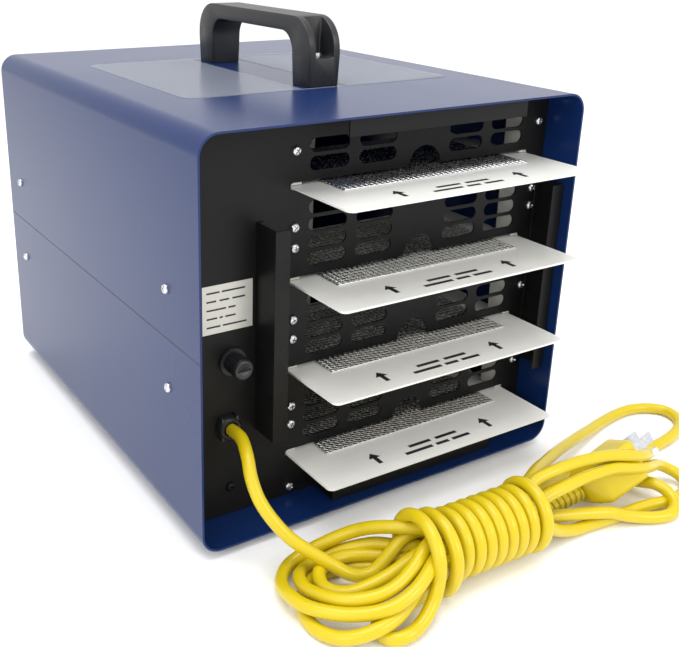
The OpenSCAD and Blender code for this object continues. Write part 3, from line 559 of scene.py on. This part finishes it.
# ---------------------------------------------------------------- supply side: fuse, bushing, label
def make_supply():
    axis = Matrix.Rotation(math.radians(-90), 4, "X")
    # fuse cap
    lo, hi = node_box("fuse_cap")
    cx, cz = (lo.x + hi.x) / 2, (lo.z + hi.z) / 2
    bm = bmesh.new()
    at = Matrix.Translation((cx, 0, cz)) @ axis
    ribs = 30
    sides = ribs * 6

    def knurled(r, y, depth):
        out = []
        for k in range(sides):
            a = 2 * math.pi * k / sides
            out.append(at @ Vector(((r - depth * (0.5 - 0.5 * math.cos(ribs * a))) * math.cos(a),
                                    (r - depth * (0.5 - 0.5 * math.cos(ribs * a))) * math.sin(a), y)))
        return out

    r = (hi.x - lo.x) / 2
    loops = [knurled(3.8, lo.y + 0.05, 0), knurled(3.8, PANEL_Y + 2.6, 0),
             knurled(r - 0.6, PANEL_Y + 2.65, 0), knurled(r, PANEL_Y + 3.2, 0.5),
             knurled(r, hi.y - 3.2, 0.5), knurled(r, hi.y - 2.2, 0),
             knurled(r - 0.15, hi.y - 1.2, 0), knurled(r - 0.7, hi.y - 0.35, 0), knurled(r - 1.5, hi.y, 0),
             knurled(r - 2.0, hi.y - 0.15, 0), knurled(0.3, hi.y - 0.2, 0)]
    loft(bm, loops)
    cap = add_object("fuse_cap_knurled", bm, LOOKS["black_plastic"], 32)
    bm = bmesh.new()
    block(bm, (cx - 4.1, hi.y - 1.2, cz - 0.6), (cx + 4.1, hi.y + 1, cz + 0.6))
    cutter = add_object("cap_cutter", bm, DARK_SEAM_AND_SHADE)
    cut = cap.modifiers.new("slot", "BOOLEAN")
    cut.object = cutter
    cut.solver = "EXACT"
    settle(cap)
    bpy.data.objects.remove(cutter)
    place(cap, "fuse_cap", "black_plastic", "fuse_cap")
    # cord bushing: clamped ring with two flats and a mouth
    lo, hi = node_box("cord_bushing")
    bm = bmesh.new()
    at = Matrix.Translation((102.0, 0, 66.0)) @ axis
    lathe(bm, [(6.0, lo.y + 0.1), (6.0, PANEL_Y), (7.45, PANEL_Y + 0.05), (7.5, PANEL_Y + 1.2),
               (7.2, PANEL_Y + 3.4), (6.6, hi.y - 0.7), (5.9, hi.y - 0.1), (4.6, hi.y - 0.2),
               (4.0, hi.y - 1.0), (3.9, hi.y - 3)], at, 48)
    for s in (-1, 1):
        block(bm, (102 + s * 4.6 - 1.0, PANEL_Y + 0.5, 66 - 7.3),
              (102 + s * 4.6 + 1.0, PANEL_Y + 4.6, 66 + 7.3), 0.5)
    clamp = add_object("cord_bushing_clamp", bm, LOOKS["black_plastic"])
    place(clamp, "housing", "black_plastic", "cord_bushing")
    # rating label: plain rules instead of its print
    lo, hi = node_box("rating_label")
    bm = bmesh.new()
    y0, y1 = hi.y, hi.y + 0.05
    for k, spans in enumerate((((0, 8), (9.5, 24)), ((0, 6), (8, 14), (16, 24)), ((0, 12), (13.5, 18)),
                               ((0, 6.5), (8, 10), (11.5, 18)), ((0, 8.5), (10, 25)))):
        z = hi.z - 4.2 - 5.0 * k
        for a0, a1 in spans:
            block(bm, (hi.x - 2.6 - a1, y0, z - 0.5), (hi.x - 2.6 - a0, y1, z + 0.5))
    place(add_object("rating_label_rules", bm, PRINT), "housing", "label_silver")


# ---------------------------------------------------------------- front: guard, rotor, knob, dial
def make_front():
    lo, hi = node_box("fan_guard")
    cx, cz = (lo.x + hi.x) / 2, (lo.z + hi.z) / 2
    cy = (lo.y + hi.y) / 2
    wire = 0.78
    bm = bmesh.new()
    for k in range(1, 6):
        torus(bm, (cx, cy, cz), 10.0 * k, wire)
    reach = 52.5
    for sx in (-1, 1):
        for sz in (-1, 1):
            points = [(cx + sx * t, cy, cz + sz * t) for t in (7.0, 20, 35, reach - 3.4)]
            tube(bm, points, wire, 10)
            eye = Matrix.Translation((cx + sx * reach, 0, cz + sz * reach))
            eye = eye @ Matrix.Rotation(math.radians(90), 4, "X")
            lathe(bm, [(1.7, -lo.y - 0.2), (4.3, -lo.y - 0.2), (4.5, -lo.y - 0.5), (4.5, -hi.y + 0.3),
                       (4.3, -hi.y + 0.02), (1.7, -hi.y + 0.02)], eye, 32, False, False)
    guard = add_object("fan_guard_wires", bm, LOOKS["zinc"], 40)
    place(guard, "housing", "zinc", "fan_guard")
    # rotor
    lo, hi = node_box("fan_rotor")
    cx, cz = (lo.x + hi.x) / 2, (lo.z + hi.z) / 2
    tip = (hi.x - lo.x) / 2 - 0.1
    at = Matrix.Translation((cx, 0, cz)) @ Matrix.Rotation(math.radians(90), 4, "X")
    bm = bmesh.new()
    lathe(bm, [(0.4, -lo.y), (18, -lo.y), (22.2, -lo.y - 0.5), (23.6, -lo.y - 2.2), (24, -lo.y - 4),
               (24, -hi.y)], at, 64)
    blades, steps_r, steps_c = 7, 8, 8
    mid = (lo.y + hi.y) / 2
    for b in range(blades):
        sides = []
        for face in (1, -1):
            rows = []
            for i in range(steps_r + 1):
                u = i / steps_r
                r = 23.0 + u * (tip - 23.0)
                angle = math.radians(48 - 20 * u)
                chord = 20 + 13 * u
                row = []
                for j in range(steps_c + 1):
                    v = j / steps_c - 0.5
                    camber = 2.2 * (1 - 4 * v * v)
                    thick = face * 0.8 * math.sqrt(max(0.03, 1 - 4 * v * v))
                    along = v * chord
                    y = mid + along * math.sin(angle) - (camber + thick) * math.cos(angle)
                    y = min(hi.y - 0.05, max(lo.y + 0.05, y))
                    sweep = along * math.cos(angle) + (camber + thick) * math.sin(angle)
                    turn = 2 * math.pi * b / blades + sweep / r
                    turn += 0.18 * u
                    row.append(bm.verts.new((cx + r * math.cos(turn), y, cz + r * math.sin(turn))))
                rows.append(row)
            sides.append(rows)
        for rows in sides:
            for i in range(steps_r):
                for j in range(steps_c):
                    bm.faces.new((rows[i][j], rows[i][j + 1], rows[i + 1][j + 1], rows[i + 1][j]))
        front, back = sides
        rim = [(0, j) for j in range(steps_c)] + [(i, steps_c) for i in range(steps_r)]
        rim += [(steps_r, j) for j in range(steps_c, 0, -1)] + [(i, 0) for i in range(steps_r, 0, -1)]
        for (a, c), (d, e) in zip(rim, rim[1:] + rim[:1]):
            bm.faces.new((front[a][c], front[d][e], back[d][e], back[a][c]))
    rotor = add_object("fan_rotor_blades", bm, LOOKS["black_plastic"])
    place(rotor, "fan_rotor", "black_plastic", "fan_rotor")
    # timer knob with a ribbed grip, skirt and pointer
    lo, hi = node_box("timer_knob")
    kx, kz = (lo.x + hi.x) / 2, (lo.z + hi.z) / 2
    r = (hi.x - lo.x) / 2
    at = Matrix.Translation((kx, 0, kz)) @ Matrix.Rotation(math.radians(90), 4, "X")
    ribs = 20
    sides = ribs * 6

    def grip(radius, y, depth):
        out = []
        for k in range(sides):
            a = 2 * math.pi * k / sides
            rr = radius - depth * (0.5 - 0.5 * math.cos(ribs * a)) ** 2
            out.append(at @ Vector((rr * math.cos(a), rr * math.sin(a), y)))
        return out

    f, b = -lo.y, -hi.y
    bm = bmesh.new()
    loft(bm, [grip(r - 0.6, b, 0), grip(r, b + 0.5, 0), grip(r, b + 1.8, 0), grip(r - 1.4, b + 2.6, 0),
              grip(r - 3.0, b + 3.0, 0), grip(r - 3.2, b + 3.6, 1.0), grip(r - 3.8, f - 1.6, 1.0),
              grip(r - 4.4, f - 0.5, 0.4), grip(r - 5.2, f, 0), grip(r - 6.0, f - 0.5, 0),
              grip(0.5, f - 0.7, 0)])
    knob = add_object("timer_knob_ribbed", bm, LOOKS["black_plastic"], 34)
    place(knob, "timer_knob", "black_plastic", "timer_knob")
    bm = bmesh.new()
    block(bm, (kx - 0.5, lo.y + 0.3, kz + 2.5), (kx + 0.5, lo.y + 0.9, kz + r - 6.4), 0.15)
    pointer = add_object("timer_knob_pointer", bm, WHITE_PRINT)
    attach(pointer, "timer_knob")
    bm = bmesh.new()
    ticks = 31
    for k in range(ticks):
        a = math.radians(90 - 300 * k / (ticks - 1))
        major = k % 5 == 0
        m = Matrix.Translation((kx, FRONT_Y, kz)) @ Matrix.Rotation(-a, 4, "Y")
        start = set(bm.verts)
        wide = 0.35 if major else 0.2
        block(bm, (r + 1.2, -0.06, -wide), (r + (3.6 if major else 2.4), 0.0, wide))
        for v in bm.verts:
            if v not in start:
                v.co = m @ v.co
    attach(add_object("timer_dial_ticks", bm, WHITE_PRINT), "housing")
    for k in range(0, 7):
        a = math.radians(90 - 50 * k)
        font = bpy.data.curves.new(f"dial_number_{k}", "FONT")
        font.body = str(10 * k)
        font.size = 4.2 * MM
        font.align_x = "CENTER"
        font.align_y = "CENTER"
        font.extrude = 0.03 * MM
        number = bpy.data.objects.new(f"dial_number_{k}", font)
        scene.collection.objects.link(number)
        spot = Vector((kx + (r + 6.2) * math.cos(a), FRONT_Y - 0.03, kz + (r + 6.2) * math.sin(a))) * MM
        number.matrix_world = Matrix.Translation(spot) @ Matrix.Rotation(math.radians(90), 4, "X")
        font.materials.append(WHITE_PRINT)
        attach(number, "housing")
    # rocker marks: a bar for on and a ring for off
    lo, hi = node_box("power_rocker")
    rx, rz = (lo.x + hi.x) / 2, (lo.z + hi.z) / 2
    mid_y = FRONT_Y + 7
    bm = bmesh.new()
    m = Matrix.Translation((rx, mid_y, rz))
    for k in range(9):
        a = math.radians(180 - 8 - 3.2 * k)
        b = math.radians(180 - 8 - 3.2 * (k + 1))
        loft(bm, [[m @ Vector((sx * 0.4, rr * math.cos(t), rr * math.sin(t))) for rr, t in
                   ((10.9, a), (11.03, a), (11.03, b), (10.9, b))] for sx in (-1, 1)])
    steps = 28
    outer, inner = [], []
    for k in range(steps):
        t = 2 * math.pi * k / steps
        for radius, loop in ((2.3, outer), (1.6, inner)):
            swing = math.radians(180 + 18) + radius * math.sin(t) / 11
            spot = Vector((radius * math.cos(t), 11.03 * math.cos(swing), 11.03 * math.sin(swing)))
            loop.append(bm.verts.new(m @ spot))
    bridge(bm, outer, inner)
    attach(add_object("power_rocker_marks", bm, WHITE_PRINT), "power_rocker")


# ---------------------------------------------------------------- cord, hank and plug
LEAD = [
    (102, 139, 66), (102, 150, 66), (105, 162, 62), (108, 172, 54), (107.5, 180, 44.5), (103.5, 188, 35),
    (97.5, 196, 26.5), (90, 204, 20.5), (81.5, 212, 14.5), (72, 219, 8.5), (62, 222.5, 8.5),
    (52, 223, 15.5), (44, 223.5, 23), (36, 225, 27),
]
LONG_LOOP = [
    (-51, 222.5, 28), (-70, 212, 25), (-90, 202, 20), (-110, 193, 16), (-130, 185, 12), (-150, 178, 9),
    (-168, 172, 6), (-186, 167, 4.5), (-204, 164, 4), (-220, 164, 4), (-233, 169, 4), (-241, 178, 4),
    (-239, 190, 4), (-229, 199, 4), (-216, 204, 4), (-200, 207, 4), (-182, 208, 4), (-164, 210, 4),
]
# Six strands run through the wraps, each in its own list, and the lists between them are the loops outside.
FIRST_STRAND = [(20, 230.5, 26), (0, 231, 26), (-20, 231.5, 26.5), (-36, 229, 27)]
UNDER_PLUG = [
    (-150, 213, 4), (-143, 217.5, 4), (-139, 226, 5), (-138.5, 236, 8.5), (-141, 245, 11), (-143, 253, 9.5),
    (-140, 261.5, 6.5), (-131.5, 265.5, 4.6), (-122, 263.5, 4.2), (-113, 259.5, 4.8), (-103, 255.5, 7),
    (-93, 252, 10.4), (-82, 248, 11.7), (-70, 244, 12.5), (-56, 240, 13.5), (-42, 236.5, 13),
]
SECOND_STRAND = [(-20, 232.5, 17.5), (0, 231.5, 17.5), (20, 230.5, 17.5), (35, 229.5, 14)]
INNER_LOOP = [
    (44, 223, 12.5), (52, 215.5, 11.5), (61, 209.5, 11), (70, 206.5, 11), (80, 206.8, 11),
    (87.5, 210, 11.2), (91.5, 216, 11), (93, 223.5, 11.5), (90, 230, 12), (84, 235, 13.5), (75, 238, 16),
    (64, 239.5, 19), (52, 239, 22), (40, 238, 24),
]
THIRD_STRAND = [(20, 238, 22), (0, 238.5, 22), (-20, 239.3, 22), (-36, 240, 25)]
FAR_FOLD = [
    (-50, 240, 29.5), (-64, 240.5, 31.5), (-78, 240.5, 32.5), (-92, 240.5, 32), (-105, 241, 31),
    (-118, 242.5, 28), (-131, 242, 24), (-144, 238.5, 19), (-156, 234.5, 14.5), (-166, 235.5, 9.5),
    (-170.5, 243, 6), (-166, 251, 4.2), (-155.5, 255, 4), (-143, 255.5, 4), (-130, 252.5, 4),
    (-118, 251, 4), (-106, 250.5, 4), (-93, 249.5, 4), (-80, 248, 4.2), (-67, 247.5, 5), (-54, 247.5, 9),
    (-42, 248.5, 16),
]
FOURTH_STRAND = [(-20, 246, 19), (0, 245.5, 23), (20, 245, 26), (34, 247, 29.5)]
OUTER_LOOP = [
    (44, 251, 28), (53, 255.5, 25.5), (63, 259, 22.5), (74, 259.6, 19), (84.6, 256, 16), (95.7, 248.7, 14),
    (104.3, 240, 13), (109.5, 231, 12), (111.5, 221, 11), (109.5, 208, 8), (103.5, 198, 6),
    (95, 191.8, 6.5), (85, 191.5, 9.5), (71, 195.5, 15.5), (60, 202, 21.5), (53, 211, 27),
    (46, 220.5, 30.5), (36, 229.5, 31.5),
]
FIFTH_STRAND = [(20, 237, 29.8), (0, 238, 29.8), (-20, 238.5, 30), (-36, 234, 31.5)]
SHORT_FOLD = [
    (-48, 231.5, 36), (-62, 233, 38.8), (-78, 234, 39.5), (-92, 235.5, 39.3), (-105, 237, 38),
    (-118, 239, 35), (-130, 239, 31), (-141, 236, 27), (-151, 230, 22.5), (-156, 221.5, 17.5),
    (-150, 212.5, 13.5), (-138.5, 208.5, 10.5), (-124, 207, 6.5), (-106, 207, 4.2), (-88, 207.5, 4.5),
    (-72, 209, 6.5), (-58, 213.5, 11), (-46, 221.5, 16), (-34, 228, 17.5),
]
SIXTH_STRAND = [(-20, 239, 14.3), (0, 238.5, 14.3), (20, 236.5, 14.5), (36, 226, 18.5)]
MIDDLE_LOOP = [
    (44.5, 220, 18), (52, 211.5, 16.5), (60, 204.5, 13), (68, 199.5, 9.5), (77, 196.5, 6), (87, 197.5, 5.5),
    (94, 201.5, 7), (99.5, 209, 9.5), (102, 219, 11.5), (100, 230, 14), (95.5, 239, 16), (88, 246, 18),
    (78, 250.5, 20), (67, 251, 22.5), (55, 248, 26.5), (44, 243.5, 31), (34, 240.5, 33),
]
HIDDEN_TURN = [(25, 240, 31.5), (19, 241.5, 25), (20, 242.5, 16.5), (28, 242.5, 11.5)]
LOW_LOOP = [
    (38, 237, 10.5), (46, 228, 8), (53, 218.5, 5.5), (62, 211, 4.5), (72, 206.5, 4), (83, 205, 4),
    (94, 208.5, 4), (103, 217, 4), (108.5, 228, 4), (109, 240, 4), (104.5, 250.5, 5), (97, 257.5, 7.5),
    (87.5, 261, 10.3), (77, 261, 12), (67, 258.5, 14.5), (57, 254.5, 18), (47, 250.5, 21.5), (37, 247, 23),
    (28, 244.5, 20.5), (25.5, 243.5, 14.5), (31, 245, 9), (41, 246.5, 6.5), (52, 247.8, 4.5),
    (63, 248.2, 4), (73, 248.8, 4), (80.2, 252, 4), (83, 258.3, 4), (80.4, 264.6, 4.2), (73, 267.2, 5),
    (65, 266, 6.2), (57.3, 263.5, 9.5), (51, 260.7, 14.5),
]
WRAP_TOPS = [42, 32, 21, 13.4, 5.8, -1.8, -9.4, -17, -25, -34]
WRAP_START = (50, 237, 22)
WRAP_END = (-50, 240, 22)
WRAP_RADIUS = 16.4
WRAP_POINTS = 16
WRAP_FIRST = -70
WRAP_LAST = 175
WRAP_SKIP = 3  # points left out at the start, where LOW_LOOP comes up to meet the first wrap
FIRST_WRAPS_LOOSE = 5.0
FIRST_WRAPS_TURNS = 1.6
LAST_WRAP_LOOSE = 2.8
LAST_WRAP_FROM = 8.3
TO_PLUG = [
    (-38.3, 221.5, 15.5), (-43, 223.5, 9.5), (-52, 226.5, 7), (-62, 228, 7.5), (-74, 228.4, 9.8),
    (-84, 228.8, 11.7),
]
CORD_D = 7.4


def wrap_points():
    """The wraps round the hank, rising on the +Y side, from the end at +X to the end at -X."""
    out = []
    first, last = WRAP_START, WRAP_END
    steps = int((360 * (len(WRAP_TOPS) - 1) + WRAP_LAST - WRAP_FIRST) / (360 / WRAP_POINTS))
    for k in range(WRAP_SKIP, steps + 1):
        angle = WRAP_FIRST + k * 360 / WRAP_POINTS
        turn = (angle - 90) / 360
        i = min(max(int(math.floor(turn)), 0), len(WRAP_TOPS) - 2)
        x = WRAP_TOPS[i] + (turn - i) * (WRAP_TOPS[i + 1] - WRAP_TOPS[i])
        if turn < 0:
            x = WRAP_TOPS[0] - turn * 20
        share = (x - first[0]) / (last[0] - first[0])
        y = first[1] + share * (last[1] - first[1])
        r = WRAP_RADIUS + FIRST_WRAPS_LOOSE * min(1.0, max(0.0, FIRST_WRAPS_TURNS - turn))
        r += LAST_WRAP_LOOSE * min(1.0, max(0.0, turn - LAST_WRAP_FROM))
        a = math.radians(angle)
        out.append((x, y + r * math.cos(a), max(CORD_D / 2, first[2] + r * math.sin(a))))
    return out


def make_cord():
    route = LEAD + FIRST_STRAND + LONG_LOOP + UNDER_PLUG + SECOND_STRAND + INNER_LOOP + THIRD_STRAND
    route += FAR_FOLD + FOURTH_STRAND + OUTER_LOOP + FIFTH_STRAND + SHORT_FOLD + SIXTH_STRAND
    route += MIDDLE_LOOP + HIDDEN_TURN
    route += LOW_LOOP + wrap_points() + TO_PLUG
    curve = bpy.data.curves.new("mains_cord", "CURVE")
    curve.dimensions = "3D"
    curve.bevel_depth = CORD_D / 2 * MM
    curve.bevel_resolution = 5
    curve.resolution_u = 6
    curve.use_fill_caps = True
    spline = curve.splines.new("BEZIER")
    spline.bezier_points.add(len(route) - 1)
    points = [Vector(p) * MM for p in route]
    for i, (b, p) in enumerate(zip(spline.bezier_points, points)):
        before, after = points[max(i - 1, 0)], points[min(i + 1, len(points) - 1)]
        d = (after - before).normalized()
        b.co = p
        b.handle_left_type = b.handle_right_type = "FREE"
        b.handle_left = p - d * (p - before).length / 3
        b.handle_right = p + d * (after - p).length / 3
    obj = bpy.data.objects.new("mains_cord", curve)
    scene.collection.objects.link(obj)
    curve.materials.append(LOOKS["yellow_pvc"])
    length = 0.0
    for a, b in zip(spline.bezier_points, spline.bezier_points[1:]):
        last = a.co
        for k in range(1, 13):
            t = k / 12
            q = ((1 - t) ** 3 * a.co + 3 * (1 - t) ** 2 * t * a.handle_right
                 + 3 * (1 - t) * t * t * b.handle_left + t ** 3 * b.co)
            length += (q - last).length
            last = q
    return obj, length


PLUG_AT = (-91, 229, 13)
RELIEF_AT = (-62, 228, 7.5)
PLUG_LEN = 42.0


def plug_section(width, height, drop, power=9.0, sides=64):
    """Rounded-square ring, as (across, up) pairs; the lower half is a little rounder than the upper."""
    out = []
    for k in range(sides):
        a = 2 * math.pi * k / sides
        c, s = math.cos(a), math.sin(a)
        n = power if s > 0 else 6.0
        out.append((width / 2 * math.copysign(abs(c) ** (2 / n), c),
                    height / 2 * math.copysign(abs(s) ** (2 / n), s) - drop))
    return out


def make_plug():
    turn = (Matrix.Translation(PLUG_AT) @ Matrix.Rotation(math.radians(178), 4, "Z")
            @ Matrix.Rotation(math.radians(-19), 4, "Y") @ Matrix.Rotation(math.radians(-28), 4, "X"))
    bm = bmesh.new()
    stations = [(0.0, 12.5, 13.5, 0.4), (0.8, 14.5, 15.5, 0.5), (6.0, 19.5, 21.5, 1.0),
                (11.0, 22.6, 25.6, 1.4), (12.2, 23.2, 26.2, 1.5), (36.0, 24, 27, 1.5), (40.8, 24, 27, 1.5),
                (41.6, 23.4, 26.4, 1.5),
                (42.0, 22.4, 25.4, 1.5)]
    loft(bm, [[turn @ Vector((s, a, u)) for a, u in plug_section(w, h, drop)] for s, w, h, drop in stations])
    # ribbed strain relief along the line from the plug to the cord
    start, end = Vector(PLUG_AT), Vector(RELIEF_AT)
    d = (end - start).normalized()
    along = Matrix.Translation(start) @ d.to_track_quat("Z", "Y").to_matrix().to_4x4()
    length = (end - start).length
    profile = [(6.6, -2.0)]
    ribs = 7
    for k in range(ribs):
        z0 = length * k / ribs
        gap = length / ribs
        big = 5.5 - 0.75 * k / ribs
        profile += [(big - 0.25, z0 + 0.02), (big, z0 + 0.35), (big, z0 + gap * 0.55),
                    (big - 0.25, z0 + gap * 0.62), (big - 1.0, z0 + gap * 0.68), (big - 1.0, z0 + gap * 0.94)]
    profile += [(4.0, length - 0.1)]
    lathe(bm, profile, along, 36)
    body = add_object("plug_moulded", bm, LOOKS["yellow_pvc"], 40)
    place(body, "housing", "yellow_pvc", "plug_body")
    return body


def make_cord_set():
    cord, length = make_cord()
    plug = make_plug()
    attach(cord, "housing")
    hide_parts("cord", "cord_hank")


make_camera()
make_studio()
make_floor(FLOOR)
dress_nodes()
make_cord_set()
make_handle()
make_screws()
make_seam()
make_plate_details()
make_supply()
make_front()

bpy.context.view_layer.update()
